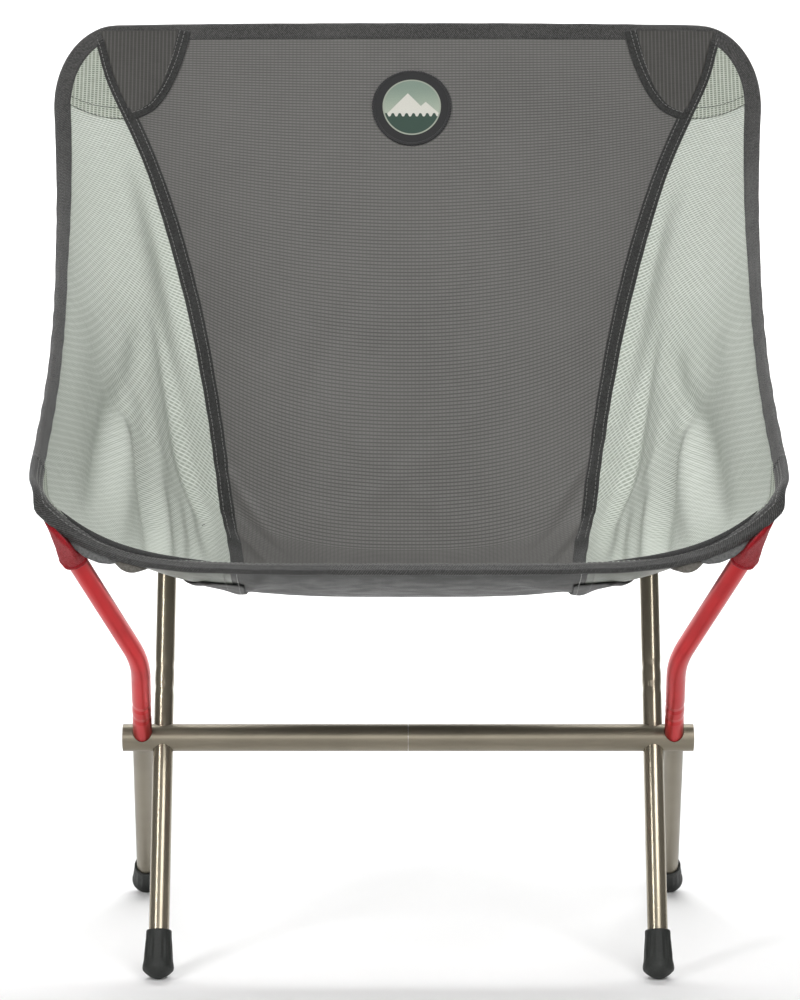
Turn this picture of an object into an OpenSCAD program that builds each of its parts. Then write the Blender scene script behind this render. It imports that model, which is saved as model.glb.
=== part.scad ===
// Ultralight backpacking chair: a shock-corded tube frame that carries a sewn sling.
// Millimetres, +Z up, the sitter faces -Y, origin on the floor under the middle of the hub line.

/* [Frame] */
// Height of the hub axis above the floor
hub_z = 155; // [150:1:160]
// Where the hub axis lies behind the middle of the chair's depth
hub_y = -17.9; // [-20:0.1:-15]
// Length of the whole hub, both halves
hub_len = 398; // [394:1:404]
// Outer diameter of the hub tube
hub_od = 19; // [19:0.5:21]
// Wall of the hub tube
hub_wall = 1.25; // [1:0.05:1.6]
// Distance from the chair's middle to each inner line (front leg and back pole)
inner_x = 171; // [168:1:172]
// Distance from the chair's middle to each outer line (rear leg and seat pole)
outer_x = 185.5; // [185:0.5:187]
// Lean of the inner line from vertical, its top towards the rear
inner_tilt = 24; // [22:1:26]
// Lean of the outer line from vertical, its top towards the front
outer_tilt = 52; // [50:1:54]
// Inward lean of the outer line's top
outer_lean = 3.2; // [2.5:0.1:4]

/* [Tubes] */
// Outer diameter of the legs
leg_od = 14; // [13.5:0.1:14]
// Outer diameter of the back poles
back_od = 13.5; // [13:0.1:13.5]
// Outer diameter of the seat poles
seat_od = 13.2; // [12.8:0.1:13.4]
// Bore of the legs and of the poles' lower ends
tube_bore = 11.5; // [11:0.1:11.6]
// How far each spigot reaches below the hub axis
spigot_low = 38; // [30:1:42]
// How far each spigot reaches above the hub axis
spigot_high = 60; // [56:1:64]
// Radius of the bends in the poles
bend_r = 150; // [120:5:170]

/* [Sling] */
// Half width of the sling at its top
half_top = 270; // [267:1:273]
// Half width of the sling at its front
half_front = 239; // [237:1:241]
// Thickness of one layer of sling fabric as built
cloth = 1; // [0.8:0.1:1.2]
// Width of the edge binding
binding_w = 11; // [9:0.5:12]
// Width of the tape over each seam
tape_w = 11; // [9:0.5:12]
// Radius of the round badge
badge_r = 30; // [25:1:32]

/* [Hidden] */
$fn = 64;
bronze = [0.42, 0.38, 0.33];
red = [0.72, 0.08, 0.10];
charcoal = [0.24, 0.24, 0.24];
grey = [0.33, 0.33, 0.34];
sage = [0.70, 0.76, 0.72];
black = [0.06, 0.06, 0.06];
steel = [0.7, 0.7, 0.7];

// Running fits: a spigot in a tube, and a tube through the hub wall
fit_gap = 0.05;
hole_gap = 0.3;
seat_gap = 0.15;
far = 60;
half_gap = 0.1;
hub_plug_len = 4.5;
hub_ferrule_half = 40;
hub_ferrule_wall = 1;
hub_cord_half = 140;

// Joined tubes: shallow swaged waists hold each spigot in its pole, one at each of these heights
crimps = [35, 51];
crimp_w = 9;
crimp_depth = 0.35;
crimp_gap = 0.1;
spigot_chamfer = 0.8;
spigot_od = tube_bore - 2 * fit_gap;
spigot_bore = 8.6;

// Shock cord
cord_d = 3;
cord_gap = 0.3;
knot_d = 6;
knot_sink = 0.4;
cord_low = 84;
cord_high = 76;
plug_len = 10;

// Pole joint and pole tips
pole_ferrule_half = 34;
tip_plug = 12;
tip_dome = 3.5;
tip_brim = 1;

// Feet: radius and distance from the rim, rim to tip
foot_profile = [[8.5, 0], [9.1, 6], [9.9, 18], [10.5, 23], [10.8, 25], [10.6, 27], [4.5, 32]];
foot_tip = 33;
foot_depth = 24;
foot_fit = 0.05;
foot_gap = 0.2;

// Lowest reach of a foot below its rim, along a leg that leans by tilt
function foot_reach(tilt) = max([for (p = foot_profile) p[1] * cos(tilt) + p[0] * sin(tilt)]);
outer_angle = acos(cos(outer_tilt) * cos(outer_lean));
front_rim = (hub_z - foot_reach(inner_tilt)) / cos(inner_tilt);
rear_rim = (hub_z - foot_reach(outer_angle)) / cos(outer_angle);

// Directions up the two lines on the right-hand side, and points along the poles
inner_dir = [0, sin(inner_tilt), cos(inner_tilt)];
outer_dir = [-sin(outer_lean), -sin(outer_tilt) * cos(outer_lean), cos(outer_tilt) * cos(outer_lean)];
inner_hub = [inner_x, hub_y, hub_z];
outer_hub = [outer_x, hub_y, hub_z];
back_bend = inner_hub + 160 * inner_dir;
back_top = [241, hub_y + 254, 629];
back_split = 60;
seat_bend = outer_hub + 112 * outer_dir;
seat_top = [211.5, hub_y - 203, 311];

function unit(a) = a / norm(a);
function reversed(a) = [for (k = [len(a) - 1:-1:0]) a[k]];
function mix(a, b, t) = a + (b - a) * t;
function bezier(p, t) = pow(1 - t, 3) * p[0] + 3 * pow(1 - t, 2) * t * p[1]
    + 3 * (1 - t) * t * t * p[2] + t * t * t * p[3];

// ---- Sling surface: u runs -1 to 1 across, v runs 0 at the top edge to 1 at the front hem ----
back_curve = [[256, 655], [222, 560], [170, 400], [90, 275]];
seat_curve = [[90, 275], [68, 240.6], [-80, 256], [-222, 303]];
edge_curve = [[242, 652], [190, 520], [20, 420], [-226, 351]];
back_share = 0.58;
corner_u = 0.187;
corner_v = 0.163;
front_corner_u = 0.035;
front_corner_v = 0.03;
row_count = 26;

function centre_line(v) = v < back_share ? bezier(back_curve, v / back_share)
    : bezier(seat_curve, (v - back_share) / (1 - back_share));
function half_width(v) = half_front + (half_top - half_front) * pow(1 - v, 1.6);
function crossing(v) = lookup(v, [[0, 2.2], [0.4, 2.2], [0.65, 3], [0.85, 4.1], [1, 6]]);
function sling(u, v) = let (w = min(max(v, 0), 1), c = centre_line(w), e = bezier(edge_curve, w),
    b = pow(abs(u), crossing(w)))
    [u * half_width(w), hub_y + mix(c[0], e[0], b), mix(c[1], e[1], b)];
// Unit normal, which points to the rear of the back and to the underside of the seat
function sling_normal(u, v) = let (h = 0.002, w = min(max(v, h), 1 - h), a = w - h, b = w + h)
    unit(cross(sling(u + h, v) - sling(u - h, v), sling(u, b) - sling(u, a)));
function sheet_point(u, v, lift) = sling(u, v) + lift * sling_normal(u, v);
// Widest u of each row, with both corners rounded
function u_limit(v) = v < corner_v ? 1 - corner_u * (1 - sqrt(1 - pow(1 - v / corner_v, 2)))
    : v > 1 - front_corner_v
        ? 1 - front_corner_u * (1 - sqrt(1 - pow((v - 1 + front_corner_v) / front_corner_v, 2))) : 1;
// Where the seam between the centre panel and a side panel runs: its distance from the middle at the front
// hem, what it gains on the way up the back, and what it loses again right under the top edge
seam_low = 113;
seam_rise = 140;
seam_dip = 16;
function u_seam(v) = (seam_low + seam_rise * pow(1 - v, 2.4) - seam_dip * exp(-pow(v / 0.07, 2)))
    / half_width(v);
rows = [for (i = [0:row_count]) (1 - cos(180 * i / row_count)) / 2];

// A closed solid between two layers of the sling, over a grid of [u, v] points given row by row
module layer(grid, low, high) {
    n = len(grid);
    m = len(grid[0]);
    points = [for (k = [low, high]) for (row = grid) for (p = row) sheet_point(p[0], p[1], k)];
    half = n * m;
    faces = concat(
        [for (i = [0:n - 2]) for (j = [0:m - 2]) let (a = i * m + j)
            each [[a, a + m, a + m + 1], [a, a + m + 1, a + 1]]],
        [for (i = [0:n - 2]) for (j = [0:m - 2]) let (a = half + i * m + j)
            each [[a, a + m + 1, a + m], [a, a + 1, a + m + 1]]],
        [for (i = [0:n - 2]) for (j = [0, m - 1]) let (a = i * m + j, b = a + m, s = j == 0)
            each s ? [[a, a + half, b + half], [a, b + half, b]]
                : [[a, b + half, a + half], [a, b, b + half]]],
        [for (j = [0:m - 2]) for (i = [0, n - 1]) let (a = i * m + j, b = a + 1, s = i == 0)
            each s ? [[a, b + half, a + half], [a, b, b + half]]
                : [[a, a + half, b + half], [a, b + half, b]]]);
    polyhedron(points, faces, convexity = 6);
}

// Step in [u, v] that moves w millimetres along the sling from the point [u, v]
function surface_step(u, v, w) = let (h = 0.002, m = min(max(v, h), 1 - h), a = m - h, b = m + h,
    su = (sling(u + h, v) - sling(u - h, v)) / (2 * h), sv = (sling(u, b) - sling(u, a)) / (b - a),
    e = su * su, f = su * sv, g = sv * sv, p = w * su, q = w * sv)
    [(p * g - q * f) / (e * g - f * f), (q * e - p * f) / (e * g - f * f)];

// A folded binding along a list of [u, v] points on the sling's edge, open side inwards
binding_lip = 1.5;
binding_fold = 0.7;
module binding(path) {
    n = len(path);
    slot = cloth / 2 + 0.5;
    skin = slot + 0.7;
    spots = [for (p = path) sling(p[0], p[1])];
    points = [for (i = [0:n - 1]) let (
        u = path[i][0],
        v = path[i][1],
        t = unit(spots[min(i + 1, n - 1)] - spots[max(i - 1, 0)]),
        k = sling_normal(u, v),
        inward = unit(cross(t, k)),
        d = surface_step(u, v, inward * binding_w),
        inner = [for (lift = [-skin, -slot, slot, skin]) sheet_point(u + d[0], v + d[1], lift)])
        each [spots[i] - binding_lip * inward - skin * k, inner[0], inner[1],
            spots[i] - binding_fold * inward - slot * k, spots[i] - binding_fold * inward + slot * k,
            inner[2], inner[3], spots[i] - binding_lip * inward + skin * k]];
    m = 8;
    faces = concat(
        [for (i = [0:n - 2]) for (j = [0:m - 1]) let (a = i * m + j, b = i * m + (j + 1) % m)
            each [[a, b, b + m], [a, b + m, a + m]]],
        [[0, 7, 4, 3], [0, 3, 2, 1], [7, 6, 5, 4]],
        [for (f = [[0, 3, 4, 7], [0, 1, 2, 3], [7, 4, 5, 6]]) [for (c = f) c + (n - 1) * m]]);
    polyhedron(points, faces, convexity = 6);
}

// ---- Helpers for tubes ----
module mirrored(side) {
    if (side < 0) mirror([1, 0, 0]) children();
    else children();
}
module on_inner() {
    translate(inner_hub) rotate([-inner_tilt, 0, 0]) children();
}
module on_outer() {
    translate(outer_hub) rotate([outer_tilt, 0, 0]) rotate([0, -outer_lean, 0]) children();
}
module aim(from, to) {
    d = to - from;
    translate(from) rotate([0, acos(d[2] / norm(d)), atan2(d[1], d[0])]) children();
}
// The same direction, with its zero at the far point
module aim_from(from, to) {
    d = to - from;
    translate(to) rotate([0, acos(d[2] / norm(d)), atan2(d[1], d[0])]) children();
}
module ring(r_out, r_in, low, high) {
    rotate_extrude() polygon([[r_in, low], [r_out, low], [r_out, high], [r_in, high]]);
}
// Length of straight tube that the bend at a corner takes up on each side
function bend_run(from, corner, to) = bend_r * tan(acos(unit(corner - from) * unit(to - corner)) / 2);
// The bend between two straight runs: its ends enter their walls, a hair inside both surfaces
module bend(from, corner, to, r_out, r_in) {
    d1 = unit(corner - from);
    d2 = unit(to - corner);
    turn = acos(d1 * d2);
    side = unit(d2 - d1 * cos(turn));
    c = corner - d1 * bend_run(from, corner, to) + side * bend_r;
    z = cross(-side, d1);
    lap = 0.4;
    skin = 0.02;
    multmatrix([[-side[0], d1[0], z[0], c[0]], [-side[1], d1[1], z[1], c[1]],
        [-side[2], d1[2], z[2], c[2]], [0, 0, 0, 1]])
        rotate([0, 0, -lap]) rotate_extrude(angle = turn + 2 * lap) translate([bend_r, 0]) difference() {
            circle(r_out - skin);
            circle(r_in + skin);
        }
}

// ---- Hub ----
module hub_tube(side) {
    color(bronze) mirrored(side) difference() {
        translate([half_gap, hub_y, hub_z]) rotate([0, 90, 0])
            cylinder(d = hub_od, h = hub_len / 2 - half_gap);
        translate([-1, hub_y, hub_z]) rotate([0, 90, 0])
            cylinder(d = hub_od - 2 * hub_wall, h = hub_len / 2 + 2);
        on_inner() cylinder(d = back_od + 2 * hole_gap, h = far);
        on_inner() translate([0, 0, -far]) cylinder(d = leg_od + 2 * hole_gap, h = far);
        on_outer() cylinder(d = seat_od + 2 * hole_gap, h = far);
        on_outer() translate([0, 0, -far]) cylinder(d = leg_od + 2 * hole_gap, h = far);
    }
}
module hub_ferrule() {
    r = hub_od / 2 - hub_wall - fit_gap;
    color(steel) translate([-hub_ferrule_half, hub_y, hub_z]) rotate([0, 90, 0])
        ring(r, r - hub_ferrule_wall, 0, 2 * hub_ferrule_half);
}
module hub_end_plug(side) {
    color(black) mirrored(side) translate([hub_len / 2, hub_y, hub_z]) rotate([0, -90, 0])
        cylinder(r = hub_od / 2 - hub_wall - fit_gap, h = hub_plug_len);
}
module hub_cord() {
    color(black) translate([0, hub_y, hub_z]) rotate([0, 90, 0]) {
        translate([0, 0, -hub_cord_half]) cylinder(d = cord_d, h = 2 * hub_cord_half);
        for (x = [-hub_cord_half, hub_cord_half]) translate([0, 0, x]) sphere(d = knot_d);
    }
}

// ---- Spigots: each is crimped in the pole above and slides in the leg below ----
module spigot() {
    r = spigot_od / 2;
    g = r - crimp_depth;
    color(steel) rotate_extrude() polygon(concat(
        [[spigot_bore / 2, -spigot_low], [r - spigot_chamfer, -spigot_low],
            [r, -spigot_low + spigot_chamfer]],
        [for (s = crimps) each [[r, s - crimp_w / 2], [g, s], [r, s + crimp_w / 2]]],
        [[r, spigot_high], [spigot_bore / 2, spigot_high]]));
}
module front_spigot(side) {
    mirrored(side) on_inner() spigot();
}
module rear_spigot(side) {
    mirrored(side) on_outer() spigot();
}

// ---- Legs and feet ----
module leg(rim) {
    color(bronze) rotate([180, 0, 0]) ring(leg_od / 2, tube_bore / 2, seat_gap, rim + foot_depth);
}
module foot(rim) {
    color(black) translate([0, 0, -rim]) rotate([180, 0, 0]) rotate_extrude() polygon(concat(
        [[0, foot_tip], [0, foot_depth + foot_gap], [leg_od / 2 + foot_fit, foot_depth + foot_gap],
            [leg_od / 2 + foot_fit, 0]],
        foot_profile));
}
module leg_plug() {
    color(black) translate([0, 0, -cord_low - plug_len])
        ring(tube_bore / 2 - fit_gap, cord_d / 2 + cord_gap, 0, plug_len);
}
module cord() {
    color(black) {
        translate([0, 0, -cord_low - plug_len]) cylinder(d = cord_d, h = cord_low + plug_len + cord_high);
        translate([0, 0, -cord_low - plug_len - knot_d / 2 + knot_sink]) sphere(d = knot_d);
        translate([0, 0, cord_high]) sphere(d = knot_d);
    }
}
module front_leg(side) {
    mirrored(side) on_inner() leg(front_rim);
}
module rear_leg(side) {
    mirrored(side) on_outer() leg(rear_rim);
}
module front_foot(side) {
    mirrored(side) on_inner() foot(front_rim);
}
module rear_foot(side) {
    mirrored(side) on_outer() foot(rear_rim);
}
module front_leg_plug(side) {
    mirrored(side) on_inner() leg_plug();
}
module rear_leg_plug(side) {
    mirrored(side) on_outer() leg_plug();
}
module front_cord(side) {
    mirrored(side) on_inner() cord();
}
module rear_cord(side) {
    mirrored(side) on_outer() cord();
}

// ---- Poles ----
// The lower run of a pole: it seats in the hub, and has two waists above it
module crimped_run(od, len) {
    r = od / 2;
    b = tube_bore / 2;
    rotate_extrude() polygon(concat(
        [[b, seat_gap], [r, seat_gap]],
        [for (s = crimps) each [[r, s - crimp_w / 2], [r - crimp_depth, s], [r, s + crimp_w / 2]]],
        [[r, len], [b, len]],
        [for (k = [len(crimps) - 1:-1:0]) each [[b, crimps[k] + crimp_w / 2],
            [b - crimp_depth + crimp_gap, crimps[k]], [b, crimps[k] - crimp_w / 2]]]));
}
back_mid = back_bend + back_split * unit(back_top - back_bend);
back_run = bend_run(inner_hub, back_bend, back_top);
module back_pole_lower(side) {
    color(bronze) mirrored(side) {
        on_inner() crimped_run(back_od, norm(back_bend - inner_hub) - back_run);
        bend(inner_hub, back_bend, back_top, back_od / 2, tube_bore / 2);
        aim(back_bend, back_top) ring(back_od / 2, tube_bore / 2, back_run, back_split);
    }
}
module back_pole_ferrule(side) {
    color(steel) mirrored(side) aim(back_mid, back_top)
        ring(spigot_od / 2, spigot_bore / 2, -pole_ferrule_half, pole_ferrule_half);
}
upper_len = norm(back_top - back_mid);
module back_pole_upper(side) {
    color(bronze) mirrored(side) aim(back_mid, back_top)
        ring(back_od / 2, tube_bore / 2, seat_gap, upper_len);
}
// A plug with a domed head that closes the top of a pole
module pole_tip(od) {
    color(black) rotate_extrude() polygon(concat(
        [[0, -tip_plug], [tube_bore / 2 - fit_gap, -tip_plug], [tube_bore / 2 - fit_gap, half_gap],
            [od / 2, half_gap]],
        [for (a = [0:15:90]) [od / 2 * cos(a), tip_brim + tip_dome * sin(a)]]));
}
module back_pole_tip(side) {
    mirrored(side) aim_from(back_mid, back_top) pole_tip(back_od);
}
seat_run = bend_run(outer_hub, seat_bend, seat_top);
module seat_pole(side) {
    color(red) mirrored(side) {
        on_outer() crimped_run(seat_od, norm(seat_bend - outer_hub) - seat_run);
        bend(outer_hub, seat_bend, seat_top, seat_od / 2, tube_bore / 2);
        aim(seat_bend, seat_top) ring(seat_od / 2, tube_bore / 2, seat_run, norm(seat_top - seat_bend));
    }
}
module seat_pole_tip(side) {
    mirrored(side) aim_from(seat_bend, seat_top) pole_tip(seat_od);
}

// ---- Sling panels ----
centre_columns = 14;
side_columns = 8;
side_rows = concat([0.012], [for (v = rows) if (v > 0.013) v]);
function centre_u(v) = [for (j = [0:centre_columns])
    min(u_seam(v), u_limit(v)) * (2 * j / centre_columns - 1)];
function side_u(v) = [for (j = [0:side_columns])
    mix(u_seam(v), u_limit(v), 1 - pow(1 - j / side_columns, 1.3))];
module centre_panel() {
    color(grey) layer([for (v = rows) [for (u = centre_u(v)) [u, v]]], -cloth / 2, cloth / 2);
}
module side_panel(side) {
    color(sage) mirrored(side)
        layer([for (v = side_rows) [for (u = side_u(v)) [u, v]]], -cloth / 2, cloth / 2);
}

// Tapes and patches lie on the face that the sitter touches
front_face = -cloth / 2 - 0.6;
tape_thick = 0.7;
patch_thick = 0.6;
tape_rows = concat([0.045], [for (v = rows) if (v > 0.05 && v < 0.965) v], [0.972]);
module seam_tape(side) {
    color(charcoal) mirrored(side) layer([for (v = tape_rows) let (w = tape_w / 2 / half_width(v))
        [for (j = [-1, 1]) [u_seam(v) + j * w, v]]], front_face - tape_thick, front_face);
}

// ---- Bindings ----
binding_split = 0.93;
module top_binding() {
    color(charcoal) binding([for (u = reversed(centre_u(0))) [min(abs(u), u_limit(0) - 0.015) * sign(u), 0]]);
}
module side_binding(side) {
    color(charcoal) mirrored(side) binding(reversed(concat(
        [for (v = rows) if (v < binding_split - 0.01) [u_limit(v), v]], [[1, binding_split]])));
}
module front_binding() {
    corner = concat([[1, binding_split + 0.003]],
        [for (v = rows) if (v > binding_split + 0.005 && v < 0.9999) [u_limit(v), v]]);
    half_hem = concat(reversed([for (k = [1:side_columns]) side_u(1)[k]]),
        reversed([for (u = centre_u(1)) if (u > -0.001) u]));
    right = concat(corner, [for (u = half_hem) [u, 1]]);
    color(charcoal) binding(concat([for (p = right) [-p[0], p[1]]],
        reversed([for (p = right) if (p[0] > 0.001) p])));
}

// ---- Top corner patches, between the top binding and a rounded lower edge ----
patch_top = 0.036;
patch_drop = 0.144;
dark_patch_u = [0.63, 0.65, 0.8];
light_patch_v = [0.075, 0.165];
patch_seam_gap = 0.03;
patch_edge_gap = 0.055;
function patch_end(u) = patch_top + patch_drop
    * pow(max(sin(90 * (u - dark_patch_u[0]) / (dark_patch_u[2] - dark_patch_u[0])), 0), 0.6);
module dark_corner_patch(side) {
    color(charcoal) mirrored(side) layer([for (k = [0:5]) [for (j = [0:8])
        let (end = patch_end(mix(dark_patch_u[1], dark_patch_u[2], j / 8)),
            v = mix(patch_top, end, k / 5),
            u = mix(dark_patch_u[1], u_seam(v) - patch_seam_gap, j / 8))
        [u, v]]], front_face - patch_thick, front_face);
}
module light_corner_patch(side) {
    color(sage) mirrored(side) layer([for (k = [0:5]) [for (j = [0:4])
        let (v = mix(light_patch_v[0], light_patch_v[1], k / 5))
        [mix(u_seam(v) + patch_seam_gap, u_limit(v) - patch_edge_gap, j / 4), v]]],
        front_face - patch_thick, front_face);
}

// ---- Pockets that hold the pole ends ----
// Each is [mouth radius, end radius, length below the pole's tip, room above the tip]
back_pocket = [8.6, 8.4, 52, 6];
front_sleeve = [8.2, 7.6, 14, 5];
pocket_wall = 0.8;
pocket_nose = 3;
module pocket(p) {
    r_end = p[1];
    shoulder = p[3] - 2;
    nose = p[3] + 2;
    rotate_extrude() polygon([[p[0] - pocket_wall, -p[2]], [p[0], -p[2]], [r_end, shoulder],
        [r_end - pocket_nose, nose], [0, nose], [0, nose - pocket_wall],
        [r_end - pocket_nose - pocket_wall, nose - pocket_wall], [r_end - pocket_wall, shoulder]]);
}
module back_pole_pocket(side) {
    color(charcoal) mirrored(side) aim_from(back_mid, back_top) pocket(back_pocket);
}
module seat_pole_sleeve(side) {
    color(red) mirrored(side) aim_from(seat_bend, seat_top) pocket(front_sleeve);
}

// ---- Badge: a round patch with a sunk ring, on the middle of the back ----
badge_u = 0.012;
badge_v = 0.113;
badge_thick = 1;
badge_ring = [4, 5.2];
badge_ring_depth = 0.3;
badge_spot = sheet_point(badge_u, badge_v, front_face - badge_thick / 2);
badge_lean = 90 + atan2(sling(0, badge_v + 0.02)[1] - sling(0, badge_v - 0.02)[1],
    sling(0, badge_v - 0.02)[2] - sling(0, badge_v + 0.02)[2]);
module badge() {
    color(black) translate(badge_spot) rotate([badge_lean, 0, 0]) difference() {
        cylinder(r = badge_r, h = badge_thick);
        translate([0, 0, badge_thick - badge_ring_depth])
            ring(badge_r - badge_ring[0], badge_r - badge_ring[1], 0, 1);
    }
}

hub_tube(-1);  // hub_tube_left
hub_tube(1);  // hub_tube_right
hub_ferrule();
hub_end_plug(-1);  // hub_end_plug_left
hub_end_plug(1);  // hub_end_plug_right
hub_cord();
front_spigot(-1);  // front_spigot_left
front_spigot(1);  // front_spigot_right
rear_spigot(-1);  // rear_spigot_left
rear_spigot(1);  // rear_spigot_right
front_leg(-1);  // front_leg_left
front_leg(1);  // front_leg_right
rear_leg(-1);  // rear_leg_left
rear_leg(1);  // rear_leg_right
front_foot(-1);  // front_foot_left
front_foot(1);  // front_foot_right
rear_foot(-1);  // rear_foot_left
rear_foot(1);  // rear_foot_right
front_leg_plug(-1);  // front_leg_plug_left
front_leg_plug(1);  // front_leg_plug_right
rear_leg_plug(-1);  // rear_leg_plug_left
rear_leg_plug(1);  // rear_leg_plug_right
front_cord(-1);  // front_cord_left
front_cord(1);  // front_cord_right
rear_cord(-1);  // rear_cord_left
rear_cord(1);  // rear_cord_right
back_pole_lower(-1);  // back_pole_lower_left
back_pole_lower(1);  // back_pole_lower_right
back_pole_ferrule(-1);  // back_pole_ferrule_left
back_pole_ferrule(1);  // back_pole_ferrule_right
back_pole_upper(-1);  // back_pole_upper_left
back_pole_upper(1);  // back_pole_upper_right
back_pole_tip(-1);  // back_pole_tip_left
back_pole_tip(1);  // back_pole_tip_right
seat_pole(-1);  // seat_pole_left
seat_pole(1);  // seat_pole_right
seat_pole_tip(-1);  // seat_pole_tip_left
seat_pole_tip(1);  // seat_pole_tip_right
centre_panel();
side_panel(-1);  // side_panel_left
side_panel(1);  // side_panel_right
seam_tape(-1);  // seam_tape_left
seam_tape(1);  // seam_tape_right
top_binding();
side_binding(-1);  // side_binding_left
side_binding(1);  // side_binding_right
front_binding();
dark_corner_patch(-1);  // dark_corner_patch_left
dark_corner_patch(1);  // dark_corner_patch_right
light_corner_patch(-1);  // light_corner_patch_left
light_corner_patch(1);  // light_corner_patch_right
back_pole_pocket(-1);  // back_pole_pocket_left
back_pole_pocket(1);  // back_pole_pocket_right
seat_pole_sleeve(-1);  // seat_pole_sleeve_left
seat_pole_sleeve(1);  // seat_pole_sleeve_right
badge();
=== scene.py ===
import math

import bpy
import numpy as np
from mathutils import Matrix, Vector


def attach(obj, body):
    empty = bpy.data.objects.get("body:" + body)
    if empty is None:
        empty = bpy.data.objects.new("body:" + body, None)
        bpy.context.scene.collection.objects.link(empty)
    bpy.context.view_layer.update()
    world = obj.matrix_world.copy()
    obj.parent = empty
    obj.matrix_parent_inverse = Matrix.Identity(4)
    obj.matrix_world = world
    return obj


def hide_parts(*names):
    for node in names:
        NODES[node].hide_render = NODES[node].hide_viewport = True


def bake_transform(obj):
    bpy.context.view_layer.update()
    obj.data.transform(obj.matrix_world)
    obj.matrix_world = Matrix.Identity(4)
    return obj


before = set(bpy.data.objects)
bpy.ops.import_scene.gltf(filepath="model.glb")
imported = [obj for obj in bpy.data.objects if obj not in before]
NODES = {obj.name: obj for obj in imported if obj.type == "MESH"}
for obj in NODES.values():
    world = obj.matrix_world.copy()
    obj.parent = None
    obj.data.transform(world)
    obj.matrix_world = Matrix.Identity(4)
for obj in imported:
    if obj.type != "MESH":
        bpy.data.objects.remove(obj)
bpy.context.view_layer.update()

MM = 0.001
SIDES = (("left", -1), ("right", 1))

# ---------------------------------------------------------------- camera
LOOK_DOWN = 6.764
camera = bpy.data.objects.new("camera", bpy.data.cameras.new("camera"))
bpy.context.scene.collection.objects.link(camera)
camera.data.lens = 115.2
camera.data.sensor_width = 36
camera.location = (-0.0057, -2.218, 0.583)
camera.rotation_euler = (math.radians(90 - LOOK_DOWN), 0, 0)
bpy.context.scene.camera = camera

# ---------------------------------------------------------------- the sling's surface, in millimetres
# v runs from 0 at the top edge to 1 at the front hem, and u from -1 to 1 across
HUB_Y = -17.9
# [distance behind the hub, height]: the middle of the back, the middle of the seat, and the side edge
BACK_CURVE = [[256, 655], [222, 560], [170, 400], [90, 275]]
SEAT_CURVE = [[90, 275], [68, 240.6], [-80, 256], [-222, 303]]
EDGE_CURVE = [[242, 652], [190, 520], [20, 420], [-226, 351]]
BACK_SHARE = 0.58
# how the width narrows from the top to the front
HALF_TOP, HALF_FRONT, NARROWING = 270, 239, 1.6
# how steeply the cloth rises towards its side edges, at points along its length
RISE_AT, RISE = [0, 0.4, 0.65, 0.85, 1], [2.2, 2.2, 3, 4.1, 6]
# the rounded corners: how far they cut in, as a share of the half width, and over what share of the length
TOP_CORNER, FRONT_CORNER = (0.187, 0.163), (0.035, 0.03)
# the seams' distance from the middle: at the front, what the top adds, and the hook below the top edge
SEAM_LOW, SEAM_RISE, SEAM_POWER = 113, 140, 2.4
SEAM_DIP, SEAM_DIP_SPAN = 16, 0.07
LENGTH = 760
STEP = 0.002


def bezier(p, t):
    p = np.array(p, float)
    t = np.asarray(t, float)[..., None]
    return (1 - t) ** 3 * p[0] + 3 * (1 - t) ** 2 * t * p[1] + 3 * (1 - t) * t * t * p[2] + t ** 3 * p[3]


def half_width(v):
    return HALF_FRONT + (HALF_TOP - HALF_FRONT) * (1 - np.clip(v, 0, 1)) ** NARROWING


def rounding(share):
    """How far a quarter circle has turned in, from 0 to 1, at a share of its span."""
    return 1 - np.sqrt(np.clip(1 - np.clip(share, 0, 1) ** 2, 0, 1))


def u_limit(v):
    """The side edge, where the corners are rounded."""
    v = np.asarray(v, float)
    top = 1 - TOP_CORNER[0] * rounding(1 - v / TOP_CORNER[1])
    low = 1 - FRONT_CORNER[0] * rounding(1 - (1 - v) / FRONT_CORNER[1])
    return np.minimum(top, low)


def u_seam(v):
    v = np.clip(v, 0, 1)
    dip = SEAM_DIP * np.exp(-(v / SEAM_DIP_SPAN) ** 2)
    return (SEAM_LOW + SEAM_RISE * (1 - v) ** SEAM_POWER - dip) / half_width(v)


def base(u, v):
    """The smooth surface, without folds."""
    u = np.asarray(u, float)
    v = np.clip(np.asarray(v, float), 0, 1)
    c = np.where((v < BACK_SHARE)[..., None], bezier(BACK_CURVE, np.clip(v / BACK_SHARE, 0, 1)),
                 bezier(SEAT_CURVE, np.clip((v - BACK_SHARE) / (1 - BACK_SHARE), 0, 1)))
    e = bezier(EDGE_CURVE, v)
    b = np.abs(u) ** np.interp(v, RISE_AT, RISE)
    return np.stack([u * half_width(v), HUB_Y + c[..., 0] + (e[..., 0] - c[..., 0]) * b,
                     c[..., 1] + (e[..., 1] - c[..., 1]) * b], -1)


def slopes(u, v):
    """How the surface runs with u and with v."""
    w = np.clip(v, STEP, 1 - STEP)
    return ((base(u + STEP, v) - base(u - STEP, v)) / (2 * STEP),
            (base(u, w + STEP) - base(u, w - STEP)) / (2 * STEP))


def unit(a):
    return a / np.maximum(np.linalg.norm(a, axis=-1, keepdims=True), 1e-12)


def normal(u, v):
    """Points to the rear of the back and to the underside of the seat."""
    su, sv = slopes(u, v)
    return unit(np.cross(su, sv))


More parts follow.
